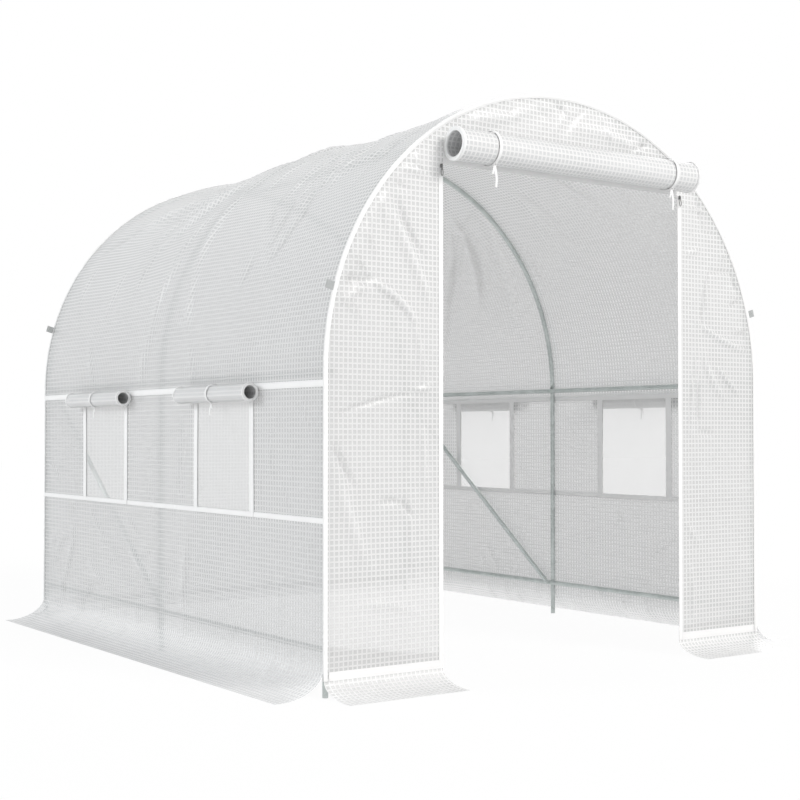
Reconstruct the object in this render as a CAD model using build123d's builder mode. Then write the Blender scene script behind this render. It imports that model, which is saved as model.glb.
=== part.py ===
from build123d import *
from math import asin, degrees
import os

# Walk-in polytunnel greenhouse. Millimetres, +Z up, front towards -Y.
# The origin is on the ground, at the centre of the tunnel.

# Overall sizes
tunnel_width = 2000
tunnel_length = 2400
wall_height = 1030

# Sheet and frame
film = 3
tube_diameter = 19
tube_gap = 0.3
arch_flats = 10
lower_rail_height = 143
upper_rail_drop = 4
rail_end_gap = 3

# Doorway in the front
door_width = 1106
door_head_drop = 297
door_centre = 18
door_hem_width = 18
door_head_width = 70
door_roll_diameter = 116
door_roll_wall = 12
left_tie_inset = 153
right_tie_inset = 119
door_tie_width = 15
door_tie_tail_width = 10
door_tie_tail_length = 68

# Windows in the side walls
window_width = 390
window_spacing = 1040
window_frame_width = 30
window_roll_diameter = 65
window_roll_wall = 6
window_roll_overhang = 40
window_tie_width = 12
screen_thickness = 1

# Bands sewn on the cover
trim = 2
upper_band_width = 22
upper_band_drop = 40
lower_band_width = 18
lower_band_height = 555
seam_width = 18

# Skirts that lie on the ground outside
side_skirt_rise = 98
side_skirt_reach = 178
end_skirt_rise = 53
end_skirt_reach = 150
skirt_lying = 20
end_hem_width = 28

# Webbing tabs at the seams of the end hoops
tab_width = 28
tab_length = 35
tab_rise = 268

# Zip sliders
slider_width = 9
slider_length = 22
slider_thickness = 5

# Sizes that follow
half_width = tunnel_width / 2
half_length = tunnel_length / 2
tube_radius = tube_diameter / 2
hoop_radius = half_width - film - tube_gap - tube_radius
end_hoop_y = half_length - film - tube_gap - tube_radius
rail_radius = hoop_radius - tube_diameter
rail_length = tunnel_length - 2 * (film + rail_end_gap)
hoop_places = {"front": -end_hoop_y, "middle": 0, "rear": end_hoop_y}
upper_rail_height = wall_height - upper_rail_drop
upper_band_height = wall_height - upper_band_drop
roof_top = wall_height + half_width
door_height = roof_top - door_head_drop
door_left = door_centre - door_width / 2
door_right = door_centre + door_width / 2
window_bottom = lower_band_height + lower_band_width / 2
window_top = upper_band_height - upper_band_width / 2
window_height = window_top - window_bottom
window_middle = (window_top + window_bottom) / 2
window_places = (-window_spacing / 2, window_spacing / 2)
frame_thickness = 2 * trim
window_roll_length = window_width + 2 * (window_frame_width + window_roll_overhang)
window_roll_radius = window_roll_diameter / 2
window_roll_x = half_width + frame_thickness + window_roll_radius
window_roll_z = window_top - window_roll_radius / 4
door_roll_radius = door_roll_diameter / 2
door_roll_y = -half_length - film - trim - door_roll_radius
door_roll_z = door_height + door_roll_radius
up = Vector(0, 0, 1)
os.makedirs("parts", exist_ok=True)


def save(builder, name):
    builder.part.label = name
    export_step(builder.part, f"parts/{name}.step")


def tube_between(start, end):
    """Adds a tube, plugged at both ends, that runs straight from start to end."""
    direction = Vector(*end) - Vector(*start)
    with BuildSketch(Plane(origin=start, z_dir=direction)) as section:
        Circle(tube_radius)
    extrude(section.sketch, amount=direction.length)


def gable(radius, low):
    """Adds the outline of the tunnel's end, of this half width, down to low."""
    with Locations((0, wall_height)):
        Circle(radius)
    with Locations((0, (wall_height + low) / 2)):
        Rectangle(2 * radius, wall_height - low)
    with Locations((0, low - tunnel_width / 2)):
        Rectangle(2 * tunnel_width, tunnel_width, mode=Mode.SUBTRACT)


def keep_region(left, right, low, high):
    """Keeps what lies inside a rectangle of the end's plane."""
    with Locations(((left + right) / 2, (low + high) / 2)):
        Rectangle(right - left, high - low, mode=Mode.INTERSECT)


def arch(name, y):
    """The half circle of one hoop, with narrow flats all round it as the bender leaves them."""
    with BuildPart() as tube:
        with BuildLine(Plane.XZ.offset(-y)):
            bow = CenterArc((0, wall_height), hoop_radius, 0, 180)
        with BuildSketch(bow ^ 0):
            RegularPolygon(tube_radius, arch_flats)
        sweep()
    save(tube, name)


def posts(name, side):
    """The upright legs of the three hoops on one side."""
    with BuildPart() as legs:
        for y in hoop_places.values():
            tube_between((side * hoop_radius, y, 0), (side * hoop_radius, y, wall_height))
    save(legs, name)


def rail(name, x, z):
    """A tube that runs the whole length, inside the hoops."""
    with BuildPart() as tube:
        tube_between((x, -rail_length / 2, z), (x, rail_length / 2, z))
    save(tube, name)


def brace(name, side):
    """The slanting tube of the rear bay, notched over the two rails that it joins."""
    x = side * rail_radius
    foot = (x, tube_diameter, lower_rail_height)
    head = (x, end_hoop_y - tube_diameter, upper_rail_height)
    with BuildPart() as tube:
        with BuildSketch(Plane(origin=foot, z_dir=Vector(*head) - Vector(*foot))):
            Circle(tube_radius)
        extrude(amount=(Vector(*head) - Vector(*foot)).length)
        for z in (lower_rail_height, upper_rail_height):
            with BuildSketch(Plane.XZ.offset(rail_length / 2)):
                with Locations((x, z)):
                    Circle(tube_radius)
            extrude(amount=-rail_length, mode=Mode.SUBTRACT)
    save(tube, name)


def side_wall(name, side):
    """The upright side of the cover, with its two windows cut through."""
    with BuildPart() as wall:
        with BuildSketch(Plane.YZ.offset(side * half_width)):
            with Locations((0, (wall_height + side_skirt_rise) / 2)):
                Rectangle(tunnel_length - 2 * film, wall_height - side_skirt_rise)
            with Locations(*[(y, window_middle) for y in window_places]):
                Rectangle(window_width, window_height, mode=Mode.SUBTRACT)
        extrude(amount=-side * film)
    save(wall, name)


def end_panel(name, end, left, right, low, high):
    """A flat sheet of the front or rear end, between these edges."""
    with BuildPart() as panel:
        with BuildSketch(Plane.XZ.offset(-end * half_length)):
            gable(half_width, end_skirt_rise)
            keep_region(left, right, low, high)
        extrude(amount=end * film)
    save(panel, name)


def seam_band(name, end):
    """The white band sewn along the edge of an end, from skirt to skirt."""
    with BuildPart() as band:
        with BuildSketch(Plane.XZ.offset(-end * half_length)):
            gable(half_width, end_skirt_rise)
            with BuildSketch(mode=Mode.SUBTRACT):
                gable(half_width - seam_width, end_skirt_rise)
        extrude(amount=-end * trim)
    save(band, name)


def skirt(name, middle, outward, length, rise, reach):
    """A sheet that comes down the wall, sweeps outward and lies on the ground."""
    profile = Plane(origin=middle, x_dir=outward, z_dir=Vector(*outward).cross(up))
    sweep_end = reach - skirt_lying
    with BuildPart() as sheet:
        with BuildSketch(profile):
            with BuildLine():
                centre = (sweep_end, rise)
                EllipticalCenterArc(centre, sweep_end, rise - film, start_angle=180, arc_size=90)
                Polyline((sweep_end, film), (reach, film), (reach, 0), (sweep_end, 0))
                EllipticalCenterArc(centre, sweep_end + film, rise, start_angle=180, arc_size=90)
                Line((-film, rise), (0, rise))
            make_face()
        extrude(amount=length / 2, both=True)
    save(sheet, name)


def side_band(name, side, height, width):
    """A level band along the outside of a side wall."""
    with BuildPart() as band:
        with BuildSketch(Plane.YZ.offset(side * half_width)):
            with Locations((0, height)):
                Rectangle(tunnel_length, width)
        extrude(amount=side * trim)
    save(band, name)


def window_frames(name, side):
    """The bands down both edges of each window, joined along its sill."""
    with BuildPart() as frames:
        leg_offset = (window_width + window_frame_width) / 2
        for y in window_places:
            with BuildSketch(Plane.YZ.offset(side * half_width)):
                with Locations((y - leg_offset, window_middle), (y + leg_offset, window_middle)):
                    Rectangle(window_frame_width, window_height)
            extrude(amount=side * frame_thickness)
            with BuildSketch(Plane.YZ.offset(side * (half_width + trim))):
                with Locations((y, lower_band_height)):
                    Rectangle(window_width + 2 * window_frame_width, lower_band_width)
            extrude(amount=side * trim)
            with BuildSketch(Plane.YZ.offset(side * (half_width + trim))):
                with Locations((y - leg_offset, window_middle), (y + leg_offset, window_middle)):
                    Rectangle(window_frame_width, window_height)
            extrude(amount=side * trim)
    save(frames, name)


def window_screens(name, side):
    """The insect mesh that fills each window."""
    with BuildPart() as screens:
        with BuildSketch(Plane.YZ.offset(side * (half_width - film / 2))):
            with Locations(*[(y, window_middle) for y in window_places]):
                Rectangle(window_width, window_height)
        extrude(amount=screen_thickness / 2, both=True)
    save(screens, name)


def ring_along_y(radius, wall, length, x, z, places):
    """Adds rings with a level axis along the tunnel, centred on these places."""
    for y in places:
        with BuildSketch(Plane.XZ.offset(-y)) as section:
            with Locations((x, z)):
                Circle(radius)
                Circle(radius - wall, mode=Mode.SUBTRACT)
        extrude(section.sketch, amount=length / 2, both=True)


def window_rolls(name, side):
    """The window flaps, rolled up outside above each window."""
    with BuildPart() as rolls:
        ring_along_y(
            window_roll_radius, window_roll_wall, window_roll_length,
            side * window_roll_x, window_roll_z, window_places,
        )
    save(rolls, name)


# The frame of galvanised tubes
for place, y in hoop_places.items():
    arch(f"{place}_arch", y)
for side_name, side in (("left", -1), ("right", 1)):
    posts(f"{side_name}_posts", side)
    rail(f"{side_name}_lower_rail", side * rail_radius, lower_rail_height)
    rail(f"{side_name}_upper_rail", side * rail_radius, upper_rail_height)
    brace(f"{side_name}_brace", side)
rail("ridge_rail", 0, wall_height + rail_radius)

# The cover
with BuildPart() as roof_cover:
    with BuildSketch(Plane.XZ):
        gable(half_width, wall_height)
        with BuildSketch(mode=Mode.SUBTRACT):
            gable(half_width - film, wall_height)
    extrude(amount=half_length - film, both=True)
save(roof_cover, "roof_cover")

for side_name, side in (("left", -1), ("right", 1)):
    side_wall(f"{side_name}_wall", side)
    side_band(f"{side_name}_upper_band", side, upper_band_height, upper_band_width)
    side_band(f"{side_name}_lower_band", side, lower_band_height, lower_band_width)
    window_frames(f"{side_name}_window_frames", side)
    window_screens(f"{side_name}_window_screens", side)
    window_rolls(f"{side_name}_window_rolls", side)
    skirt(
        f"{side_name}_skirt", (side * half_width, 0, 0), (side, 0, 0), tunnel_length - 2 * film,
        side_skirt_rise, side_skirt_reach,
    )

end_panel("rear_wall", 1, -half_width, half_width, end_skirt_rise, roof_top)
end_panel("front_left_panel", -1, -half_width, door_left, end_skirt_rise, door_height)
end_panel("front_right_panel", -1, door_right, half_width, end_skirt_rise, door_height)
end_panel("front_arch_panel", -1, -half_width, half_width, door_height, roof_top)
seam_band("front_seam_band", -1)
seam_band("rear_seam_band", 1)

for name, y, outward, left, right in (
    ("front_left_skirt", -half_length, (0, -1, 0), -half_width, door_left),
    ("front_right_skirt", -half_length, (0, -1, 0), door_right, half_width),
    ("rear_skirt", half_length, (0, 1, 0), -half_width, half_width),
):
    skirt(
        name, ((left + right) / 2, y, 0), outward, right - left,
        end_skirt_rise, end_skirt_reach,
    )

with BuildPart() as end_hem_strips:
    hem_strip_z = end_skirt_rise + end_hem_width / 2
    hem_strips = (
        (-1, -half_width + seam_width, door_left - door_hem_width),
        (-1, door_right + door_hem_width, half_width - seam_width),
        (1, -half_width + seam_width, half_width - seam_width),
    )
    for end, left, right in hem_strips:
        with BuildSketch(Plane.XZ.offset(-end * half_length)):
            with Locations(((left + right) / 2, hem_strip_z)):
                Rectangle(right - left, end_hem_width)
        extrude(amount=-end * trim)
save(end_hem_strips, "end_hem_strips")

# The doorway's hems, the door rolled up above it, and its ties
with BuildPart() as door_hems:
    for hem_left in (door_left - door_hem_width, door_right):
        with BuildSketch(Plane.XZ.offset(half_length)):
            gable(half_width - seam_width, end_skirt_rise)
            keep_region(hem_left, hem_left + door_hem_width, end_skirt_rise, door_height)
        extrude(amount=trim)
save(door_hems, "door_hems")

with BuildPart() as door_head_band:
    with BuildSketch(Plane.XZ.offset(half_length)):
        gable(half_width - seam_width, end_skirt_rise)
        keep_region(door_left, door_right, door_height, door_height + door_head_width)
    extrude(amount=film)
save(door_head_band, "door_head_band")

with BuildPart() as door_roll:
    with BuildSketch(Plane.YZ.offset(door_left)):
        with Locations((door_roll_y, door_roll_z)):
            Circle(door_roll_radius)
            Circle(door_roll_radius - door_roll_wall, mode=Mode.SUBTRACT)
    extrude(amount=door_width)
save(door_roll, "door_roll")

with BuildPart() as door_roll_ties:
    tail_middle = door_roll_z - door_roll_radius - (trim + door_tie_tail_length) / 2
    for x in (door_left + left_tie_inset, door_right - right_tie_inset):
        with BuildSketch(Plane.YZ.offset(x)):
            with Locations((door_roll_y, door_roll_z)):
                Circle(door_roll_radius + trim)
                Circle(door_roll_radius, mode=Mode.SUBTRACT)
        extrude(amount=door_tie_width / 2, both=True)
        with BuildSketch(Plane.YZ.offset(x)):
            with Locations((door_roll_y, tail_middle)):
                Rectangle(trim, door_tie_tail_length)
        extrude(amount=door_tie_tail_width / 2, both=True)
save(door_roll_ties, "door_roll_ties")

with BuildPart() as window_ties:
    for side in (-1, 1):
        ring_along_y(
            window_roll_radius + trim, trim, window_tie_width,
            side * window_roll_x, window_roll_z, window_places,
        )
save(window_ties, "window_ties")

with BuildPart() as zip_sliders:
    with BuildSketch(Plane.XZ.offset(half_length + trim)):
        slider_z = door_height - slider_length / 2
        left_slider = (door_left - door_hem_width / 2, slider_z)
        right_slider = (door_right + door_hem_width / 2, slider_z)
        with Locations(left_slider, right_slider):
            Rectangle(slider_width, slider_length)
        chamfer(vertices(), slider_width / 3)
    extrude(amount=slider_thickness)
save(zip_sliders, "zip_sliders")

with BuildPart() as webbing_tabs:
    tab_angle = degrees(asin(tab_rise / half_width))
    for end in (-1, 1):
        with BuildSketch(Plane.XZ.offset(-end * half_length)):
            for angle in (tab_angle, 180 - tab_angle):
                with Locations((0, wall_height)):
                    with PolarLocations(half_width + tab_length / 2, 1, start_angle=angle):
                        Rectangle(tab_length + film, tab_width)
            with Locations((0, wall_height)):
                Circle(half_width, mode=Mode.SUBTRACT)
        extrude(amount=end * film)
save(webbing_tabs, "webbing_tabs")
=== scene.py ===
import math

import bmesh
import bpy
import numpy as np
from mathutils import Matrix, Vector, noise


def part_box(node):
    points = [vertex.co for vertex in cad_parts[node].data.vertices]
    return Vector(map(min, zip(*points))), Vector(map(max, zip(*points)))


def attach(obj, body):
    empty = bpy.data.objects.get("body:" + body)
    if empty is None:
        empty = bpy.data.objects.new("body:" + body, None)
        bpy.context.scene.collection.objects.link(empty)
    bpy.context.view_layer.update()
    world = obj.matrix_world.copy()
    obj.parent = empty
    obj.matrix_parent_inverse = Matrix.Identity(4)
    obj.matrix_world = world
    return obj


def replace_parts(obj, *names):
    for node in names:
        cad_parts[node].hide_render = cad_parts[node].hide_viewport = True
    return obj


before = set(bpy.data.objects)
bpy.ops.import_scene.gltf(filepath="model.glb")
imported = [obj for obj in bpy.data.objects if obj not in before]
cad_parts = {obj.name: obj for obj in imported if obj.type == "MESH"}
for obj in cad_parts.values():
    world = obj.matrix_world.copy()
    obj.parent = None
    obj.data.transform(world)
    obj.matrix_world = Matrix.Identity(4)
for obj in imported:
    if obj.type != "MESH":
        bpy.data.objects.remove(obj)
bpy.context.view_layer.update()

# A walk-in polytunnel greenhouse: galvanised hoops under a translucent sheet with a white grid.
# Metres, in the frame of the CAD model: +Z up, the doorway towards -Y.

BODY = "root"


def size_of(node):
    low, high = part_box(node)
    return high - low


def middle_of(node):
    low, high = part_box(node)
    return (low + high) / 2


# Sizes read from the frame
HALF_WIDTH = size_of("roof_cover").x / 2
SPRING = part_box("roof_cover")[0].z
END_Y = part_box("rear_wall")[1].y
skirt_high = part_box("right_skirt")[1]
SIDE_REACH = skirt_high.x - HALF_WIDTH
SIDE_RISE = skirt_high.z
end_skirt_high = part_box("rear_skirt")[1]
END_REACH = end_skirt_high.y - END_Y
END_RISE = end_skirt_high.z
DOOR_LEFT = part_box("front_left_panel")[1].x
DOOR_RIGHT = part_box("front_right_panel")[0].x
DOOR_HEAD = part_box("front_arch_panel")[0].z
screen_low, screen_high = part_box("right_window_screens")
WINDOW_LOW = screen_low.z
WINDOW_HIGH = screen_high.z
WINDOW_OUTER = screen_high.y
TUBE_RADIUS = size_of("right_posts").x / 2
post_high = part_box("right_posts")[1]
HOOP_RADIUS = post_high.x - TUBE_RADIUS
END_HOOP_Y = post_high.y - TUBE_RADIUS
HOOPS = {"front_arch": -END_HOOP_Y, "middle_arch": 0.0, "rear_arch": END_HOOP_Y}
SIDES = (("left", -1), ("right", 1))
UP = Vector((0, 0, 1))

# Sizes that the frame doesn't give
WINDOW_WIDTH = 0.39
WINDOW_MIDDLE = WINDOW_OUTER - WINDOW_WIDTH / 2
WINDOW_PLACES = (-WINDOW_MIDDLE, WINDOW_MIDDLE)
FRAME_WIDTH = 0.03
SILL_WIDTH = 0.018
SEAM_WIDTH = 0.018
DOOR_HEM = 0.018
SHEET_INSET = 0.001
SKIRT_LYING = 0.02
ROOF_SAG = 0.018
FULL_CREASE = 0.014
GRID_PITCH = 0.0175

# Tapes: their thickness, and how far the middle of each kind stands out from the sheet
TAPE_THICKNESS = 0.0012
TAPE_LIFT = 0.0018
DOOR_HEM_LIFT = 0.0012
DOOR_HEAD_LIFT = 0.0022
SILL_LIFT = 0.0034
BAND_LINING_LIFT = -0.0024
FRAME_LINING_LIFT = -0.0022
LINING_LAP = 0.002

# Rolls
ROLL_TURNS = 3.0
DOOR_ROLL_WALL = 0.013
WINDOW_ROLL_WALL = 0.008
WINDOW_ROLL_LENGTH = 0.53

# How finely the sheets are divided
SHEET_STEP = 0.015
COVER_STEP = 0.0145
END_STEP = 0.007

# Camera, solved from the photograph
CAMERA_PLACE = (-3.3577, -5.0039, 0.8325)
CAMERA_YAW = 0.6081
CAMERA_PITCH = 0.0232
CAMERA_FOCAL_SHARE = 1420.64 / 800
SENSOR = 36.0


def new_object(name, data):
    thing = bpy.data.objects.new(name, data)
    bpy.context.scene.collection.objects.link(thing)
    return thing


def make_camera():
    data = bpy.data.cameras.new("camera")
    data.sensor_width = SENSOR
    data.lens = CAMERA_FOCAL_SHARE * SENSOR
    data.clip_end = 100
    camera = new_object("camera", data)
    camera.location = CAMERA_PLACE
    camera.rotation_euler = (math.pi / 2 + CAMERA_PITCH, 0, -CAMERA_YAW)
    bpy.context.scene.camera = camera


# Light and ground

AMBIENT = 0.50
AMBIENT_COLOUR = (0.975, 0.99, 1.0, 1)
FLOOR_REACH = 30.0
FLOOR_DROP = 0.0005
FLOOR_GLOW = 0.95

# Name, strength, colour, the way the light travels, and its spread in degrees
LAMPS = (
    ("key", 2.20, (1.0, 0.985, 0.965), (-0.28, 0.85, -0.60), 22),
    ("fill", 1.42, (0.97, 0.99, 1.0), (0.85, -0.35, -0.36), 25),
    ("back", 0.75, (1.0, 1.0, 1.0), (-0.80, -0.55, -0.35), 40),
)


def make_world():
    """White where it is looked at, and a plain level of light on the object."""
    m = Nodes(bpy.data.worlds.new("studio"))
    seen = m.rays("Is Camera Ray", "Is Transmission Ray", "Is Glossy Ray")
    colour = m.colour(seen, AMBIENT_COLOUR, grey(1))
    sky = m.add("Background", Color=colour, Strength=m.ramp(seen, 0.0, 1.0, AMBIENT, 1.0))
    bpy.context.scene.world = m.finish(sky)


def make_lights():
    for name, strength, colour, toward, spread in LAMPS:
        data = bpy.data.lights.new(name, "SUN")
        data.energy = strength
        data.color = colour
        data.angle = math.radians(spread)
        lamp = new_object(name, data)
        lamp.rotation_euler = Vector(toward).to_track_quat("-Z", "Y").to_euler()


def make_floor():
    """A floor that looks white and still takes the object's shadow."""
    mesh = bpy.data.meshes.new("floor")
    corners = [(-1, -1), (1, -1), (1, 1), (-1, 1)]
    mesh.from_pydata([(x * FLOOR_REACH, y * FLOOR_REACH, 0) for x, y in corners], [], [(0, 1, 2, 3)])
    floor = new_object("floor", mesh)
    floor.location.z = -FLOOR_DROP
    m = new_material("pale_floor")
    share = m.ramp(m.rays("Is Camera Ray", "Is Glossy Ray"), 0.0, 1.0, 0.0, FLOOR_GLOW)
    plain = m.add("BsdfDiffuse", Color=grey(0.9))
    mesh.materials.append(m.finish(m.mix(share, plain, m.add("Emission", Strength=1.0))))


# Materials


class Nodes:
    """The nodes of a material or a world, with short ways to add the usual ones."""

    def __init__(self, owner):
        owner.use_nodes = True
        self.owner = owner
        self.tree = owner.node_tree
        self.tree.nodes.clear()

    def new(self, kind, **settings):
        node = self.tree.nodes.new(f"ShaderNode{kind}")
        for name, value in settings.items():
            setattr(node, name, value)
        return node

    def put(self, node, name, value):
        if isinstance(value, bpy.types.NodeSocket):
            self.tree.links.new(value, node.inputs[name])
        else:
            node.inputs[name].default_value = value

    def add(self, kind, **inputs):
        """Adds a node with these inputs and gives back its first output."""
        node = self.new(kind)
        for name, value in inputs.items():
            self.put(node, name.replace("_", " "), value)
        return node.outputs[0]

    def fill(self, node, *values):
        """Puts values into a node's first inputs and gives back its first output."""
        for index, value in enumerate(values):
            self.put(node, index, value)
        return node.outputs[0]

    def math(self, operation, *values):
        return self.fill(self.new("Math", operation=operation), *values)

    def times(self, first, second):
        return self.math("MULTIPLY", first, second)

    def sine(self, value, rate):
        return self.math("SINE", self.times(value, rate))

    def scaled(self, vector, factors):
        return self.fill(self.new("VectorMath", operation="MULTIPLY"), vector, factors)

    def mix(self, factor, first, second):
        return self.fill(self.new("MixShader"), factor, first, second)

    def ramp(self, value, low, high, to_low=0.0, to_high=1.0):
        """Value from low to high becomes to_low to to_high, with soft ends."""
        node = self.new("MapRange", interpolation_type="SMOOTHSTEP")
        return self.fill(node, value, low, high, to_low, to_high)

    def colour(self, factor, first, second):
        node = self.new("Mix", data_type="RGBA")
        for index, value in ((0, factor), (6, first), (7, second)):
            self.put(node, index, value)
        return node.outputs[2]

    def noise(self, vector, scale, detail=2.0, rough=0.5):
        return self.add("TexNoise", Vector=vector, Scale=scale, Detail=detail, Roughness=rough)

    def bump(self, height, distance, strength, **normal):
        return self.add("Bump", Height=height, Distance=distance, Strength=strength, **normal)

    def split(self, vector):
        return self.add("SeparateXYZ", Vector=vector).node.outputs

    def rays(self, *kinds):
        """1 for rays of these kinds and 0 for all others."""
        path = self.new("LightPath")
        value = path.outputs[kinds[0]]
        for kind in kinds[1:]:
            value = self.math("MAXIMUM", value, path.outputs[kind])
        return value

    def cloth(self):
        """The cut sheet's own coordinates in metres: along the width and along the length."""
        return self.new("UVMap", uv_map="cloth").outputs[0]

    def place(self):
        return self.new("TexCoord").outputs["Object"]

    def finish(self, shader):
        kind = "World" if isinstance(self.owner, bpy.types.World) else "Material"
        self.put(self.new(f"Output{kind}"), "Surface", shader)
        return self.owner


def new_material(name):
    return Nodes(bpy.data.materials.new(name))


def grey(level):
    return (level, level, level, 1)


def grid_lines(m, pitch, width):
    """1 on the threads of a square grid and 0 in its cells, with soft edges."""
    lines = []
    for along in m.split(m.cloth())[:2]:
        share = m.math("FRACT", m.math("DIVIDE", along, pitch))
        from_line = m.math("ABSOLUTE", m.math("SUBTRACT", share, 0.5))
        lines.append(m.ramp(from_line, 0.5 - width * 0.72, 0.5 - width * 0.28))
    return m.math("MAXIMUM", *lines)


def film_material(name, cell=(0.592, 0.597, 0.602, 1), line=grey(0.70), cell_cover=0.74, line_cover=0.97,
                  through=0.26, painted_light_spans=(), crease_white_and_highlight=0.42):
    """Translucent sheet with a white reinforcing grid. through is the share of light that passes on.

    lifts are spans of height over which its tone is painted lighter, as painted light near the floor and high
    up: low, high, factor below and factor above.
    whitening is how far a sharp ridge turns white: partly the film's own paling where it is creased, partly a
    painted highlight. Furrows are painted darker as painted shade.
    """
    m = new_material(name)
    place = m.place()
    lines = grid_lines(m, GRID_PITCH, 0.30)
    mottle = m.ramp(m.noise(place, 3.5, 3.0), 0.3, 0.7)
    skin = m.colour(mottle, cell, tuple(1.05 * c for c in cell[:3]) + (1,))
    skin = m.colour(lines, skin, line)
    height = m.split(place)[2]
    # Painted light: over these spans of height the tone is made lighter.
    for low, high, below, above in painted_light_spans:
        skin = m.scaled(skin, m.ramp(height, low, high, below, above))
    # Creases: ridges are painted paler, partly the film's own paling where it is creased and partly a painted
    # highlight; furrows are painted darker, a painted shade.
    crease = m.new("Attribute", attribute_name="crease").outputs["Fac"]
    ridge_white_and_highlight = m.ramp(crease, 0.15, 1.2, 0.0, crease_white_and_highlight)
    skin = m.colour(ridge_white_and_highlight, skin, grey(0.93))
    # Painted shade: the furrows are darkened towards grey.
    furrow_painted_shade = m.ramp(crease, -1.1, -0.10, 0.48, 0.0)
    skin = m.colour(furrow_painted_shade, skin, grey(0.45))
    normal = m.bump(m.noise(place, 6.0, 5.0, 0.6), 0.010, 0.55)
    normal = m.bump(lines, 0.0003, 0.5, Normal=normal)
    front = m.add("BsdfPrincipled", Roughness=0.34, Base_Color=skin, Specular_IOR_Level=0.5, Normal=normal)
    behind = m.add("BsdfTranslucent", Color=skin, Normal=normal)
    body = m.mix(m.ramp(height, 0.9, 1.6, through, through * 0.55), front, behind)
    cover = m.math("ADD", m.ramp(lines, 0.0, 1.0, cell_cover, line_cover), m.times(ridge_white_and_highlight, 0.3))
    return m.finish(m.mix(cover, m.add("BsdfTransparent"), body))


def tape_material():
    """White woven tape, stitched near both edges. Its cloth coordinates start from its middle."""
    level = 0.93
    through = 0.10
    stitch_row = 0.0072
    stitch_pitch = 0.0042
    m = new_material("white_tape")
    along, across, _ = m.split(m.cloth())
    twill = m.sine(m.math("ADD", along, across), 4200.0)
    ribs = m.sine(across, 7000.0)
    weave = m.math("ADD", m.times(twill, 0.5), m.times(ribs, 0.3))
    soil = m.ramp(m.noise(m.place(), 9.0, 3.0), 0.35, 0.75, 0.0, 0.35)
    tone = m.colour(soil, grey(level), grey(level - 0.05))
    near_row = m.math("ABSOLUTE", m.math("SUBTRACT", m.math("ABSOLUTE", across), stitch_row))
    row = m.ramp(near_row, 0.0004, 0.0009, 1.0, 0.0)
    dash = m.ramp(m.math("FRACT", m.math("DIVIDE", along, stitch_pitch)), 0.18, 0.28)
    stitch = m.times(row, dash)
    tone = m.colour(m.times(stitch, 0.3), tone, grey(0.62))
    normal = m.bump(m.math("ADD", weave, m.times(stitch, -2.0)), 0.00018, 0.5)
    front = m.add("BsdfPrincipled", Roughness=0.62, Base_Color=tone, Specular_IOR_Level=0.25, Normal=normal)
    return m.finish(m.mix(through, front, m.add("BsdfTranslucent", Color=tone)))


def screen_material():
    """Fine insect mesh, seen as a light haze with its threads only up close."""
    m = new_material("insect_screen")
    threads = grid_lines(m, 0.0016, 0.34)
    front = m.add("BsdfDiffuse", Color=grey(0.85))
    behind = m.add("BsdfTranslucent", Color=grey(0.80))
    cover = m.ramp(threads, 0.0, 1.0, 0.16, 0.85)
    return m.finish(m.mix(cover, m.add("BsdfTransparent"), m.mix(0.24, front, behind)))


def galvanised_material():
    """Zinc-coated steel tube: a faint spangle and drawn lines."""
    m = new_material("galvanised")
    place = m.place()
    spangle = m.add("TexVoronoi", Vector=place, Scale=140.0)
    cloud = m.noise(place, 14.0, 3.0)
    drawn = m.noise(m.scaled(place, (900.0, 900.0, 12.0)), 1.0, 1.0)
    tone = m.colour(m.ramp(cloud, 0.3, 0.7), (0.43, 0.47, 0.46, 1), (0.58, 0.62, 0.61, 1))
    tone = m.colour(m.ramp(spangle, 0.1, 0.7, 0.0, 0.25), tone, (0.68, 0.72, 0.71, 1))
    return m.finish(m.add(
        "BsdfPrincipled", Metallic=0.75, Base_Color=tone, Roughness=m.ramp(cloud, 0.2, 0.8, 0.30, 0.46),
        Normal=m.bump(drawn, 0.0002, 0.25),
    ))


def webbing_material():
    m = new_material("grey_webbing")
    along, across, _ = m.split(m.cloth())
    weave = m.times(m.sine(along, 2600.0), m.sine(across, 4200.0))
    tone = m.colour(m.ramp(weave, -1.0, 1.0), (0.36, 0.37, 0.37, 1), (0.54, 0.56, 0.56, 1))
    normal = m.bump(weave, 0.0004, 0.8)
    return m.finish(m.add("BsdfPrincipled", Roughness=0.8, Base_Color=tone, Normal=normal))


def zip_material():
    m = new_material("zip_alloy")
    cloud = m.noise(m.place(), 300.0, 3.0)
    tone = m.colour(m.ramp(cloud, 0.3, 0.7), grey(0.12), grey(0.30))
    rough = m.ramp(cloud, 0.2, 0.8, 0.25, 0.4)
    return m.finish(m.add("BsdfPrincipled", Metallic=0.9, Base_Color=tone, Roughness=rough))


# Meshes


def steps(*stops, step=SHEET_STEP):
    """Numbers from the first stop to the last, through each one, at most a step apart."""
    values = [stops[0]]
    for low, high in zip(stops, stops[1:]):
        count = max(1, math.ceil(abs(high - low) / step - 1e-6))
        values += [low + (high - low) * (i + 1) / count for i in range(count)]
    return values


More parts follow.
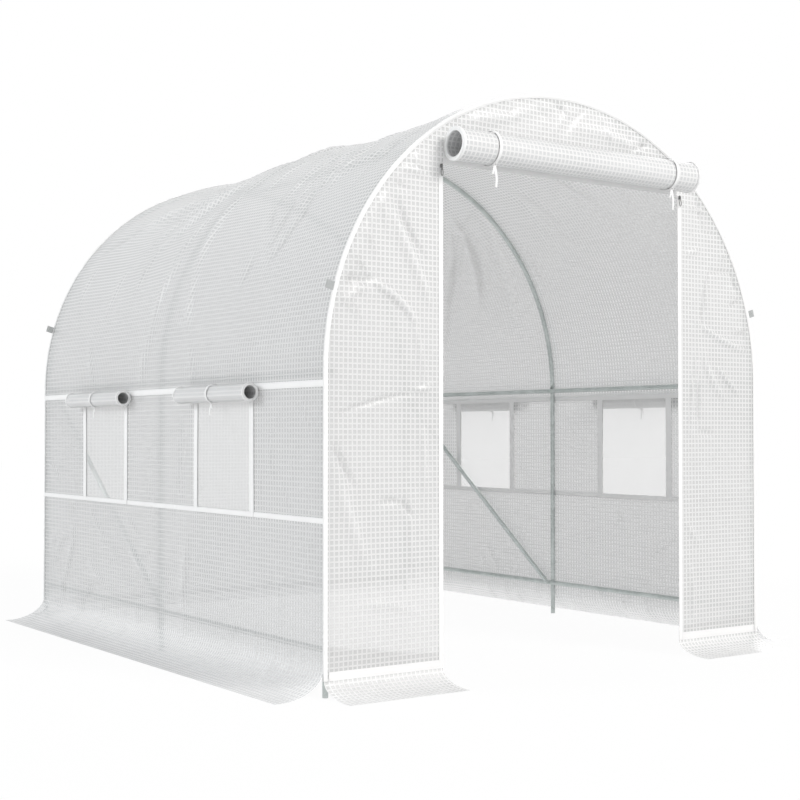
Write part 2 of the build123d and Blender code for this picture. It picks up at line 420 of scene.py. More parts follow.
def grid_piece(name, columns, rows, point, cloth, material, keep=None, crease=None):
    """A sheet over columns by rows. point and cloth give a corner's place and its spot on the cut."""
    bm = bmesh.new()
    uv = bm.loops.layers.uv.new("cloth")
    strain = bm.verts.layers.float.new("crease")
    corners = [[bm.verts.new(point(c, r)) for r in rows] for c in columns]
    if crease is not None:
        for line, c in zip(corners, columns):
            for corner, r in zip(line, rows):
                corner[strain] = crease(c, r)
    for i in range(len(columns) - 1):
        for j in range(len(rows) - 1):
            middle = ((columns[i] + columns[i + 1]) / 2, (rows[j] + rows[j + 1]) / 2)
            if keep is not None and not keep(*middle):
                continue
            spots = ((i, j), (i + 1, j), (i + 1, j + 1), (i, j + 1))
            face = bm.faces.new([corners[a][b] for a, b in spots])
            for loop, (a, b) in zip(face.loops, spots):
                loop[uv].uv = cloth(columns[a], rows[b])
    bmesh.ops.delete(bm, geom=[v for v in bm.verts if not v.link_faces], context="VERTS")
    return add_piece(name, bm, material)


def add_piece(name, bm, material, smooth=True):
    bmesh.ops.remove_doubles(bm, verts=bm.verts, dist=1e-6)
    bmesh.ops.dissolve_degenerate(bm, dist=1e-7, edges=bm.edges)
    bmesh.ops.recalc_face_normals(bm, faces=bm.faces)
    mesh = bpy.data.meshes.new(name)
    bm.to_mesh(mesh)
    bm.free()
    for polygon in mesh.polygons:
        polygon.use_smooth = smooth
    mesh.materials.append(material)
    piece = new_object(name, mesh)
    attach(piece, BODY)
    return piece


def thicken(piece, thickness=TAPE_THICKNESS):
    """Gives a sheet its thickness as real faces, with crisp edges."""
    solid = piece.modifiers.new("thickness", "SOLIDIFY")
    solid.thickness = thickness
    solid.offset = 0.0
    bpy.context.view_layer.update()
    shape = piece.evaluated_get(bpy.context.evaluated_depsgraph_get())
    mesh = bpy.data.meshes.new_from_object(shape)
    piece.modifiers.clear()
    old = piece.data
    piece.data = mesh
    bpy.data.meshes.remove(old)
    mesh.name = piece.name
    mesh.set_sharp_from_angle(angle=math.radians(40))
    return piece


# The cover's shape


def skirt_path(reach, rise):
    """Points from a skirt's outer edge up to the wall: how far out, and how high."""
    sweep_end = reach - SKIRT_LYING
    points = [(reach, SHEET_INSET), (sweep_end, SHEET_INSET)]
    count = 24
    for i in range(1, count + 1):
        angle = math.radians(270 - 90 * i / count)
        points.append((
            sweep_end + (sweep_end + SHEET_INSET) * math.cos(angle),
            rise + (rise - SHEET_INSET) * math.sin(angle),
        ))
    return points


class Path:
    """A line of points, followed by the distance from its start."""

    def __init__(self, points):
        self.points = np.array(points, float)
        spans = np.linalg.norm(np.diff(self.points, axis=0), axis=1)
        self.at = np.concatenate([[0.0], np.cumsum(spans)])
        self.length = self.at[-1]

    def point(self, t):
        return np.array([np.interp(t, self.at, self.points[:, k]) for k in (0, 1)])

    def normal(self, t):
        """Across the line, to the right of the way it runs."""
        near = 1e-3
        ahead = self.point(min(t + near, self.length)) - self.point(max(t - near, 0.0))
        ahead /= np.linalg.norm(ahead)
        return np.array([ahead[1], -ahead[0]])


def side_path():
    """Half the cover's outline, from the side skirt's outer edge up the wall and over to the ridge."""
    points = [(HALF_WIDTH + out, z) for out, z in skirt_path(SIDE_REACH, SIDE_RISE)]
    radius = HALF_WIDTH - SHEET_INSET
    count = 90
    for i in range(count + 1):
        angle = math.radians(90 * i / count)
        points.append((radius * math.cos(angle), SPRING + radius * math.sin(angle)))
    return Path(points)


SIDE = side_path()
END = Path(skirt_path(END_REACH, END_RISE))
T_WALL = Path(skirt_path(SIDE_REACH, SIDE_RISE)).length
T_SPRING = T_WALL + SPRING - SIDE_RISE
T_RIDGE = SIDE.length


def at_height(z):
    """The distance along the side's path at a height on the wall."""
    return T_WALL + z - SIDE_RISE


def smooth(low, high, value):
    share = min(max((value - low) / (high - low), 0.0), 1.0)
    return share * share * (3 - 2 * share)


class Folds:
    """Creases in a sheet, each along a line on it: u0, v0, u1, v1, width and height."""

    REACH = 0.62
    WIDTH = 0.95
    HEIGHT = 2.6
    BEND = 0.18

    def __init__(self, lines):
        table = np.array(lines, float)
        starts, ends = table[:, 0:2], table[:, 2:4]
        span = ends - starts
        length = np.linalg.norm(span, axis=1)
        self.middle = (starts + ends) / 2
        self.way = span / length[:, None]
        self.half = length * self.REACH
        self.width = table[:, 4] * self.WIDTH
        self.height = table[:, 5] * self.HEIGHT
        self.bend = np.sin(np.arange(len(lines)) * 2.4) * self.BEND

    def at(self, u, v):
        """How high the creases stand at a spot: positive is outward."""
        du = u - self.middle[:, 0]
        dv = v - self.middle[:, 1]
        along = (du * self.way[:, 0] + dv * self.way[:, 1]) / self.half
        near = np.abs(along) < 1
        if not near.any():
            return 0.0
        along = along[near]
        across = (dv * self.way[:, 0] - du * self.way[:, 1])[near]
        across = (across - self.bend[near] * self.half[near] * along * along) / self.width[near]
        across = np.where(across > 0, across * 1.8, across * 0.8)
        fade = (1 - along * along) ** 1.5
        return float(np.sum(self.height[near] * fade * np.exp(-across * across)))


def random_folds(seed, count, u_range, v_range, turn_range, length_range, width_range, height_range):
    """Creases strewn over a stretch of sheet, turned so many degrees from the first direction."""
    draw = np.random.RandomState(seed)
    lines = []
    for _ in range(count):
        u, v = draw.uniform(*u_range), draw.uniform(*v_range)
        turn, half = math.radians(draw.uniform(*turn_range)), draw.uniform(*length_range) / 2
        du, dv = half * math.cos(turn), half * math.sin(turn)
        height = draw.uniform(*height_range) * draw.choice((-1, 1), p=(0.5, 0.5))
        lines.append((u - du, v - dv, u + du, v + dv, draw.uniform(*width_range), height))
    return lines


# Creases of the cover's left half. Each: y and distance from the ridge where it starts, the same where it
# ends, width and height.
LEFT_CREASES = [
    (-0.013, 0.554, -0.126, 1.159, 0.03, 0.006),
    (-0.126, 1.15, -0.204, 1.4, 0.022, 0.0036),
    (0.005, 0.56, 0.382, 1.007, 0.034, 0.007),
    (0.13, 0.52, 0.6, 0.96, 0.03, 0.0052),
    (0.268, 0.56, 0.82, 0.861, 0.032, 0.0056),
    (0.42, 0.566, 0.971, 0.837, 0.028, 0.005),
    (0.062, 1.000, 0.148, 1.345, 0.024, 0.0044),
    (0.583, 0.598, 0.939, 0.935, 0.03, 0.004),
    (0.389, 0.94, 0.435, 1.2, 0.022, 0.0034),
    (0.638, 1.001, 0.656, 1.264, 0.024, 0.0034),
    (0.039, 0.8, 0.13, 1.089, 0.02, 0.0042),
    (1.004, 0.98, 0.998, 1.209, 0.026, 0.003),
    (-0.755, 0.92, -0.664, 1.175, 0.018, -0.0046),
    (-0.485, 0.5, -0.496, 0.86, 0.026, 0.0046),
    (-0.791, 0.65, -0.636, 0.924, 0.03, 0.0044),
    (-0.232, 0.43, -0.27, 0.751, 0.026, 0.0044),
    (-0.528, 1.079, -0.526, 1.249, 0.018, -0.003),
    (-0.967, 0.62, -0.769, 0.824, 0.03, 0.004),
    (-0.62, 0.46, -0.4, 0.7, 0.026, -0.0036),
    (0.115, 1.33, 0.18, 1.59, 0.026, 0.0034),
    (-0.243, 1.43, -0.296, 1.63, 0.022, 0.0028),
    (0.728, 1.39, 0.634, 1.589, 0.026, 0.0034),
    (0.7, 2.07, 0.501, 2.22, 0.018, 0.003),
    (0.824, 2.19, 0.976, 2.46, 0.02, 0.0034),
    (1.136, 2.262, 0.825, 2.181, 0.02, 0.0034),
    (0.366, 2.052, 0.181, 2.165, 0.018, 0.0026),
    (1.172, 1.884, 0.991, 1.968, 0.018, 0.003),
    (0.697, 2.309, 0.473, 2.417, 0.018, 0.0034),
    (0.76, 2.501, 0.583, 2.368, 0.018, -0.0026),
    (0.302, 2.199, 0.064, 2.352, 0.022, 0.003),
    (-0.24, 2.15, -0.199, 2.43, 0.03, 0.0036),
]

# Smaller creases strewn over the cover. Each: seed, count, and the ranges of y, distance from the ridge,
# turn, length, width and height.
RIGHT_FOLDS = (41, 14, (0.0, 1.0), (0.5, 1.2), (35, 75), (0.4, 0.7), (0.022, 0.034), (0.003, 0.0065))
STREWN_FOLDS = (
    (5, 16, (0.0, 1.1), (0.1, 0.9), (25, 60), (0.25, 0.6), (0.016, 0.03), (0.0015, 0.0035)),
    (15, 22, (-1.1, 0.0), (0.1, 1.0), (75, 130), (0.2, 0.55), (0.014, 0.028), (0.0018, 0.0042)),
    (25, 26, (-1.15, 1.15), (1.5, 2.5), (60, 140), (0.08, 0.3), (0.010, 0.02), (0.001, 0.0024)),
    (35, 16, (-1.15, 1.15), (2.2, 2.5), (-10, 40), (0.1, 0.3), (0.012, 0.02), (0.001, 0.0026)),
    (45, 18, (-1.15, 1.15), (2.50, 2.62), (60, 120), (0.08, 0.2), (0.012, 0.03), (0.001, 0.003)),
)


def cover_creases(left):
    """All the folds of one half of the cover."""
    lines = list(LEFT_CREASES) if left else random_folds(*RIGHT_FOLDS)
    for seed, *ranges in STREWN_FOLDS:
        lines += random_folds(seed if left else seed + 1, *ranges)
    return Folds(lines)


COVER_FOLDS = {-1: cover_creases(True), 1: cover_creases(False)}

# Creases of the front. Each: x and z where it starts, the same where it ends, width and height.
FRONT_CREASES = [
    (-0.761, 1.6, -0.558, 1.23, 0.022, 0.0046),
    (-0.74, 1.62, -0.616, 1.401, 0.012, -0.0036),
    (-0.808, 1.343, -0.625, 1.208, 0.013, 0.005),
    (-0.951, 1.329, -0.788, 1.327, 0.012, -0.003),
    (-0.948, 1.318, -0.792, 1.287, 0.02, 0.0024),
    (-0.97, 0.902, -0.6, 0.984, 0.008, -0.0026),
    (-0.65, 0.97, -0.57, 0.992, 0.009, 0.0034),
    (-0.811, 1.331, -0.649, 1.217, 0.009, 0.0034),
    (-0.983, 0.829, -0.88, 0.648, 0.014, -0.0036),
    (-0.958, 0.729, -0.83, 0.395, 0.028, 0.004),
    (-0.801, 0.616, -0.688, 0.613, 0.012, -0.0032),
    (-0.703, 0.62, -0.655, 0.55, 0.01, -0.0032),
    (-0.654, 1.232, -0.597, 0.995, 0.016, 0.0026),
    (-0.616, 0.9, -0.597, 0.611, 0.016, 0.0034),
    (-0.667, 0.642, -0.654, 0.333, 0.014, 0.0022),
    (-0.9, 0.3, -0.62, 0.26, 0.014, 0.002),
    (0.678, 1.24, 0.985, 1.14, 0.013, 0.0046),
    (0.781, 1.089, 0.898, 0.992, 0.012, 0.0044),
    (0.687, 1.221, 0.737, 1.478, 0.012, -0.0036),
    (0.695, 1.143, 0.816, 0.957, 0.018, 0.0036),
    (0.679, 1.096, 0.685, 0.823, 0.014, -0.003),
    (0.675, 0.843, 0.766, 0.832, 0.012, -0.0026),
    (0.593, 1.512, 0.7, 1.541, 0.012, 0.0032),
    (0.581, 0.524, 0.702, 0.402, 0.014, 0.0026),
    (0.862, 1.463, 0.896, 1.378, 0.012, -0.0026),
    (0.625, 0.835, 0.676, 1.162, 0.014, 0.0034),
    (0.642, 0.335, 0.656, 0.094, 0.012, 0.0024),
    (-0.5, 1.9, -0.15, 1.94, 0.02, 0.003),
    (0.05, 1.955, 0.45, 1.88, 0.022, 0.0034),
]


def puckers(seed, low, high):
    """Short gathers that run in from the seam round an end, drawn over the hoop's curve."""
    draw = np.random.RandomState(seed)
    lines = []
    angle = low
    while angle < high:
        turn = math.radians(angle)
        lean = turn + 0.3 * math.radians(draw.uniform(-25, 25))
        near, far = HALF_WIDTH - 0.015, HALF_WIDTH - draw.uniform(0.05, 0.15)
        lines.append((
            near * math.cos(turn), SPRING + near * math.sin(turn),
            far * math.cos(lean), SPRING + far * math.sin(lean),
            draw.uniform(0.007, 0.013), draw.uniform(0.0016, 0.0036) * draw.choice((-1, 1)),
        ))
        angle += draw.uniform(3.0, 6.5)
    return lines


# The same over the rear, with x and height in place of y and distance
REAR_FOLDS = (
    (8, 22, (-0.85, 0.85), (0.3, 1.7), (20, 160), (0.15, 0.5), (0.014, 0.028), (0.002, 0.0042)),
    (9, 10, (-0.85, 0.85), (0.1, 0.5), (-10, 40), (0.1, 0.4), (0.012, 0.02), (0.0015, 0.003)),
)
END_FOLDS = {
    -1: Folds(FRONT_CREASES + puckers(3, 12, 168)),
    1: Folds(puckers(4, 10, 170) + [line for folds in REAR_FOLDS for line in random_folds(*folds)]),
}


def cover_billow(side, t, y):
    """How far the cover stands in from its taut line: it sags between hoops and creases."""
    bay = math.sin(math.pi * min(abs(y) / END_HOOP_Y, 1.0)) ** 2
    near_end = smooth(END_Y, END_Y - 0.06, abs(y))
    up = smooth(T_SPRING, T_SPRING + 0.5, t)
    on_wall = smooth(T_WALL, T_WALL + 0.15, t)
    on_skirt = smooth(0.0, 0.03, t)
    r = T_RIDGE - t
    taut = 0.25 + 0.75 * smooth(0.0, 0.10, min(abs(y), abs(abs(y) - END_HOOP_Y)))
    soft = noise.noise(Vector((side * r * 1.6, y * 1.3, side * 3.0)))
    sag = ROOF_SAG * bay * up
    wave = 0.004 * soft * bay * on_wall
    window = 1.0
    if T_WALL < t < T_SPRING:
        from_frame = max(
            abs(abs(y) - WINDOW_MIDDLE) - WINDOW_WIDTH / 2 - 0.035,
            at_height(WINDOW_LOW - FRAME_WIDTH) - t, t - at_height(WINDOW_HIGH + FRAME_WIDTH),
        )
        window = smooth(0.0, 0.05, from_frame)
    folds = COVER_FOLDS[side].at(y, r) * taut * window * on_skirt
    return near_end * (sag + wave - folds)


def cover_crease(side, t, y):
    """How sharply the cover is creased there: about 1 on a ridge and -1 in a furrow."""
    return COVER_FOLDS[side].at(y, T_RIDGE - t) / FULL_CREASE


def cover_point(side, t, y, lift=0.0):
    out, z = SIDE.point(t)
    across, rise = SIDE.normal(t)
    shift = lift - cover_billow(side, t, y)
    return Vector((side * (out + across * shift), y, max(z + rise * shift, SHEET_INSET)))


def window_at(t, y):
    inside = abs(abs(y) - WINDOW_MIDDLE) < WINDOW_WIDTH / 2
    return inside and at_height(WINDOW_LOW) < t < at_height(WINDOW_HIGH)


def outline_height(x):
    """The height of the tunnel's end outline above x."""
    radius = HALF_WIDTH - SHEET_INSET
    return SPRING + math.sqrt(max(radius * radius - x * x, 0.0))


def end_billow(end, x, z):
    """How far an end's sheet stands in from its plane."""
    radius = math.hypot(x, max(z - SPRING, 0.0))
    rim = smooth(HALF_WIDTH - 0.012, HALF_WIDTH - 0.05, radius)
    low = smooth(END_RISE, END_RISE + 0.12, z)
    edge = 1.0
    if end < 0:
        gap = max(DOOR_LEFT - DOOR_HEM - x, x - DOOR_RIGHT - DOOR_HEM, z - DOOR_HEAD - 0.07, 0.0)
        edge = smooth(0.0, 0.05, gap)
    soft = noise.noise(Vector((x * 2.1, z * 1.7, 5.0 * end)))
    return rim * low * edge * (0.006 * soft - END_FOLDS[end].at(x, z))


def end_crease(end, x, t):
    return END_FOLDS[end].at(x, END_RISE + t - END.length) / FULL_CREASE


def end_point(end, x, t, lift=0.0):
    """A point on an end's sheet, t along it from its skirt's outer edge."""
    if t < END.length:
        out, z = END.point(t)
        across, rise = END.normal(t)
    else:
        out, z = 0.0, END_RISE + t - END.length
        across, rise = 1.0, 0.0
    shift = lift - end_billow(end, x, z)
    return Vector((x, end * (END_Y - SHEET_INSET + out + across * shift), max(z + rise * shift, SHEET_INSET)))


def end_at(z):
    return END.length + z - END_RISE


# Pieces


def make_cover(film):
    """The one long sheet over the hoops, from skirt to skirt, with its four windows cut out."""
    half_length = END_Y - SHEET_INSET
    w0, w1 = WINDOW_OUTER - WINDOW_WIDTH, WINDOW_OUTER
    columns = steps(-half_length, -w1, -w0, 0.0, w0, w1, half_length)
    one_side = steps(
        0.0, SKIRT_LYING, T_WALL, at_height(WINDOW_LOW), at_height(WINDOW_HIGH), T_SPRING, T_RIDGE,
        step=COVER_STEP,
    )
    half = [round(T_RIDGE - t, 9) for t in one_side]
    rows = sorted(set(half + [-r for r in half]))

    def point(y, r):
        side = 1 if r >= 0 else -1
        return cover_point(side, T_RIDGE - abs(r), y)

    piece = grid_piece(
        "cover_sheet", columns, rows, point, lambda y, r: (y, r), film,
        keep=lambda y, r: not window_at(T_RIDGE - abs(r), y),
        crease=lambda y, r: cover_crease(1 if r >= 0 else -1, T_RIDGE - abs(r), y),
    )
    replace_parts(piece, "roof_cover", "left_wall", "right_wall", "left_skirt", "right_skirt")


def end_sheet(name, end, columns, rows, along, film):
    """A sheet on an end. along gives the distance up it for a column and a row."""
    return grid_piece(
        name, columns, rows,
        lambda x, r: end_point(end, x, along(x, r)),
        lambda x, r: (x, along(x, r)), film,
        crease=lambda x, r: end_crease(end, x, along(x, r)),
    )


def end_rows(skirt_step, wall_step):
    """Rows up an end's sheet: distances over the skirt, and past it shares of the way up."""
    rows = steps(0.0, SKIRT_LYING, END.length, step=skirt_step)
    return rows + [END.length + s for s in steps(0.0, 1.0, step=wall_step)[1:]]


def up_to(top, r):
    """The distance up an end's sheet that a row stands for, where the sheet ends at this height."""
    return r if r <= END.length else END.length + (r - END.length) * (top - END_RISE)


def make_front(film):
    """The front's sheet: a panel with its skirt each side of the doorway, and the arch above."""
    knee = math.sqrt((HALF_WIDTH - SHEET_INSET) ** 2 - (DOOR_HEAD - SPRING) ** 2)
    for kind, stops in (
        ("left", (-HALF_WIDTH + SHEET_INSET, -knee, DOOR_LEFT)),
        ("right", (DOOR_RIGHT, knee, HALF_WIDTH - SHEET_INSET)),
    ):
        piece = end_sheet(
            f"front_{kind}_sheet", -1, steps(*stops, step=END_STEP), end_rows(0.01, 0.0042),
            lambda x, r: up_to(min(DOOR_HEAD, outline_height(x)), r), film,
        )
        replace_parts(piece, f"front_{kind}_panel", f"front_{kind}_skirt")
    arch = end_sheet(
        "front_arch_sheet", -1, steps(-knee, DOOR_LEFT, DOOR_RIGHT, knee, step=0.009),
        steps(0.0, 1.0, step=0.03),
        lambda x, r: end_at(DOOR_HEAD + r * (outline_height(x) - DOOR_HEAD)), film,
    )
    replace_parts(arch, "front_arch_panel")


def make_foot_flaps(film):
    """The skirt's own upper edge, lapped inside the front's panels at a slant."""
    edge = HALF_WIDTH - 0.02
    door_gap = 0.004
    behind = -0.0025
    flaps = []
    for left, right, left_top, right_top in (
        (-edge, DOOR_LEFT - door_gap, 0.160, 0.098),
        (DOOR_RIGHT + door_gap, edge, 0.105, 0.125),
    ):
        def along(x, r):
            top = left_top + (right_top - left_top) * (x - left) / (right - left)
            ripple = 0.003 * noise.noise(Vector((x * 9, 0, 4)))
            return end_at(END_RISE + r * (top + ripple - END_RISE))

        flaps.append(grid_piece(
            "foot_flap", steps(left, right), steps(0.0, 1.0, step=0.25),
            lambda x, r: end_point(-1, x, along(x, r), behind), lambda x, r: (x, along(x, r)),
            film,
        ))
    flap = join("front_foot_flaps", flaps)


def make_rear(film):
    """The rear wall and its skirt, one flat sheet stretched over the rear hoop."""
    edge = HALF_WIDTH - SHEET_INSET
    piece = end_sheet(
        "rear_sheet", 1, steps(-edge, edge, step=0.0105), end_rows(0.012, 0.0055),
        lambda x, r: up_to(outline_height(x), r), film,
    )
    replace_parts(piece, "rear_wall", "rear_skirt")


def with_middle(span):
    """A span's start, middle and end. The middle is halfway, unless the span names it."""
    return span if len(span) == 3 else (span[0], sum(span) / 2, span[1])


def tape_piece(name, across, up, point, tape):
    """A tape over two spans, running along the longer one. point gives a corner's place."""
    across, up = with_middle(across), with_middle(up)
    level = across[2] - across[0] > up[2] - up[0]
    columns = steps(across[0], across[2]) if level else across
    rows = up if level else steps(up[0], up[2])

    def cloth(c, r):
        return (c, r - up[1]) if level else (r, c - across[1])

    return thicken(grid_piece(name, columns, rows, point, cloth, tape))


def side_tape(name, side, ys, ts, lift, tape):
    return tape_piece(name, ys, ts, lambda y, t: cover_point(side, t, y, lift), tape)


def end_tape(name, end, xs, zs, lift, tape):
    return tape_piece(name, xs, zs, lambda x, z: end_point(end, x, end_at(z), lift), tape)


def make_side_bands(tape):
    """The bands along the sides, each with its lining inside the sheet."""
    for name, side in SIDES:
        for kind in ("upper", "lower"):
            node = f"{name}_{kind}_band"
            low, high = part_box(node)
            spans = (low.y, high.y), (at_height(low.z), at_height(high.z))
            piece = side_tape(f"{node}_tape", side, *spans, TAPE_LIFT, tape)
            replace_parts(piece, node)
            side_tape(f"{node}_lining", side, *spans, BAND_LINING_LIFT, tape)


# Across the seam tape, from the cover's side round the corner and onto the end: inward and ahead
SEAM_SECTION = [
    (0.0003, -0.0070), (-0.0010, -0.0058), (-0.0018, -0.0025), (-0.0014, 0.0005), (0.0004, 0.0019),
    (0.0035, 0.0022), (0.0075, 0.0018), (0.0110, 0.0006), (0.0130, -0.0002),
]


def make_seam_band(name, end, tape):
    """The tape round the edge of an end, folded over the hoop's corner."""
    node = f"{name}_seam_band"
    section = Path(SEAM_SECTION)
    middle = section.length / 2
    arc = math.pi * HALF_WIDTH
    leg = SPRING - END_RISE
    columns = steps(0.0, leg, leg + arc, 2 * leg + arc, step=0.02)
    rows = steps(0.0, section.length, step=0.003)

    def point(c, r):
        inward, ahead = section.point(r)
        reach = HALF_WIDTH - inward
        if c < leg:
            x, z = -reach, END_RISE + c
        elif c < leg + arc:
            angle = math.pi * (c - leg) / arc
            x, z = -reach * math.cos(angle), SPRING + reach * math.sin(angle)
        else:
            x, z = reach, SPRING - (c - leg - arc)
        return Vector((x, end * (END_Y + ahead), z))

    piece = grid_piece(f"{node}_tape", columns, rows, point, lambda c, r: (c, r - middle), tape)
    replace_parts(thicken(piece), node)


def join(name, pieces):
    """One piece made of several."""
    bpy.ops.object.select_all(action="DESELECT")
    for piece in pieces:
        piece.select_set(True)
    bpy.context.view_layer.objects.active = pieces[0]
    bpy.ops.object.join()
    pieces[0].name = name
    return pieces[0]


def make_door_trim(tape):
    """The hems and head band of the doorway, and the strips along the foot of both ends."""
    hems = [
        end_tape(f"door_hem_{name}", -1, (left, left + DOOR_HEM), (END_RISE, DOOR_HEAD), DOOR_HEM_LIFT, tape)
        for name, left in (("left", DOOR_LEFT - DOOR_HEM), ("right", DOOR_RIGHT))
    ]
    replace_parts(join("door_hem_tapes", hems), "door_hems")
    low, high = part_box("door_head_band")
    head = end_tape("door_head_tape", -1, (low.x, high.x), (low.z, high.z), DOOR_HEAD_LIFT, tape)
    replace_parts(head, "door_head_band")
    low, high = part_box("end_hem_strips")
    inner = HALF_WIDTH - SEAM_WIDTH
    spans = ((-1, -inner, DOOR_LEFT - DOOR_HEM), (-1, DOOR_RIGHT + DOOR_HEM, inner), (1, -inner, inner))
    strips = [
        end_tape(f"hem_strip_{number}", end, (left, right), (low.z, high.z), TAPE_LIFT, tape)
        for number, (end, left, right) in enumerate(spans)
    ]
    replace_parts(join("end_hem_tapes", strips), "end_hem_strips")


def make_windows(tape, screen):
    """Each window's mesh, its frame tapes and sill outside, and their linings inside."""
    low, high = at_height(WINDOW_LOW), at_height(WINDOW_HIGH)
    half = WINDOW_WIDTH / 2
    outer = half + FRAME_WIDTH
    lined = outer + LINING_LAP
    sill = (low - SILL_WIDTH, low - SILL_WIDTH / 2, low)
    sill_lined = (sill[0] - LINING_LAP, *sill[1:])
    for name, side in SIDES:
        frames, screens = [], []
        for number, y in enumerate(WINDOW_PLACES):
            for kind, ys, ts, lift in (
                ("frame", (y - outer, y - half), (low, high), TAPE_LIFT),
                ("lining", (y - lined, y - half), (low, high), FRAME_LINING_LIFT),
                ("frame", (y + half, y + outer), (low, high), TAPE_LIFT),
                ("lining", (y + half, y + lined), (low, high), FRAME_LINING_LIFT),
                ("sill", (y - outer, y + outer), sill, SILL_LIFT),
                ("sill_lining", (y - outer, y + outer), sill_lined, -SILL_LIFT),
            ):
                frames.append(side_tape(f"{name}_{kind}_{number}", side, ys, ts, lift, tape))
            screens.append(grid_piece(
                f"{name}_mesh_{number}", steps(y - half, y + half), steps(low, high),
                lambda c, r: cover_point(side, r, c, -SHEET_INSET), lambda c, r: (c, r),
                screen,
            ))
        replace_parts(join(f"{name}_window_frame_tapes", frames), f"{name}_window_frames")
        mesh = join(f"{name}_window_mesh", screens)
        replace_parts(mesh, f"{name}_window_screens")


def roll_piece(name, start, axis, length, outer, inner, film):
    """A sheet rolled up on itself: a spiral about a level axis, open at both ends."""
    full = ROLL_TURNS * 2 * math.pi
    side_way = UP.cross(axis)

    def point(a, t):
        wobble = 1 + 0.008 * noise.noise(Vector((t * 9.0, math.cos(a) * 1.5, math.sin(a) * 1.5)))
        radius = (inner + (outer - inner) * a / full) * wobble
        return start + axis * t + (side_way * math.cos(a) + UP * math.sin(a)) * radius

    return grid_piece(
        name, steps(0.0, full, step=math.radians(9)), steps(0.0, length, step=0.03), point,
        lambda a, t: (t, a * (inner + (outer - inner) * a / full / 2)), film,
    )


def rim_piece(name, centre, axis, outer, inner, tape, width):
    """The thick white rim of the hem at the end of a roll."""
    side_way = UP.cross(axis)
    middle, half = (outer + inner) / 2, (outer - inner) / 2

    def squared(value):
        return math.copysign(abs(value) ** 0.6, value)

    def point(a, b):
        out = side_way * math.cos(a) + UP * math.sin(a)
        across = squared(math.cos(b)) * half
        return centre + out * (middle + across) + axis * squared(math.sin(b)) * width / 2

    around = [2 * math.pi * i / 64 for i in range(65)]
    section = [2 * math.pi * j / 12 for j in range(13)]
    return grid_piece(
        name, around, section, point,
        lambda a, b: (middle * a, half * (2 * b / math.pi - 2)), tape,
    )


def rims_of(name, start, axis, length, outer, inner, tape, width):
    """The two rims of a roll."""
    return [
        rim_piece(f"{name}{end}", p, axis, outer, inner - 0.001, tape, width)
        for end, p in enumerate((start, start + axis * length))
    ]


def make_rolls(film, tape):
    """The rolled door and the rolled window flaps, with their rims."""
    axis = Vector((1, 0, 0))
    size = size_of("door_roll")
    outer = size.z / 2 - SHEET_INSET
    inner = outer - DOOR_ROLL_WALL
    length = size.x - 0.008
    start = middle_of("door_roll") - axis * length / 2
    roll = roll_piece("door_roll_sheet", start, axis, length, outer, inner, film)
    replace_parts(roll, "door_roll")
    join("door_roll_rims", rims_of("door_rim_", start, axis, length, outer + 0.0015, inner, tape, 0.012))
    axis = Vector((0, 1, 0))
    length = WINDOW_ROLL_LENGTH - 0.006
    for name, _ in SIDES:
        node = f"{name}_window_rolls"
        middle = middle_of(node)
        outer = size_of(node).z / 2 - SHEET_INSET
        inner = outer - WINDOW_ROLL_WALL
        rolls, rims = [], []
        for number, y in enumerate(WINDOW_PLACES):
            start = Vector((middle.x, y - length / 2, middle.z))
            rolls.append(roll_piece(f"{name}_roll_{number}", start, axis, length, outer, inner, film))
            rims += rims_of(f"{name}_rim_{number}", start, axis, length, outer + 0.001, inner, tape, 0.008)
        roll = join(f"{name}_window_roll_sheets", rolls)
        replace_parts(roll, node)
        join(f"{name}_window_roll_rims", rims)


def ribbon(name, points, width_way, width, tape, thickness=TAPE_THICKNESS):
    """A flat tape that follows points, its width along width_way."""
    lengths = [0.0]
    for a, b in zip(points, points[1:]):
        lengths.append(lengths[-1] + (b - a).length)
    places = dict(zip(lengths, points))
    piece = grid_piece(
        name, lengths, [-width / 2, 0.0, width / 2], lambda c, r: places[c] + width_way * r,
        lambda c, r: (c, r), tape,
    )
    return thicken(piece, thickness)


def tie(name, centre, axis, radius, width, tape, tail, knot_angle, out_way):
    """A tape tied round a roll, with its knot and two loose tails."""
    def round_at(angle, reach):
        return centre + (out_way * math.cos(angle) + UP * math.sin(angle)) * reach

    loop = [round_at(knot_angle + math.radians(d), radius) for d in range(0, 361, 6)]
    parts = [ribbon(f"{name}_loop", loop[:-1] + [loop[0] + axis * 1e-4], axis, width, tape)]
    knot_at = round_at(knot_angle, radius + width * 0.25)
    knot_turn = []
    for a in (math.radians(d) for d in range(0, 341, 20)):
        swing = axis * math.cos(a) * 0.62 + UP * math.sin(a) * 0.38
        knot_turn.append(knot_at + swing * width + out_way * 0.0015 * math.sin(2 * a))
    knot_turn.append(knot_turn[0] + UP * 1e-4)
    parts.append(ribbon(f"{name}_knot", knot_turn, out_way, width * 0.5, tape))
    for sign, share in ((1, 1.0), (-1, 0.42)):
        tail_points = []
        for i in range(13):
            s = i / 12
            sway = 0.004 * math.sin(2.2 * s) + 0.012 * (1 - share) * s
            tail_points.append(
                knot_at - UP * (tail * share * s + width * 0.1) + axis * sign * sway
                + out_way * (0.003 * math.sin(3.0 * s) + 0.002 * s)
            )
        parts.append(ribbon(f"{name}_tail{sign}", tail_points, axis, width * 0.72, tape))
    return parts


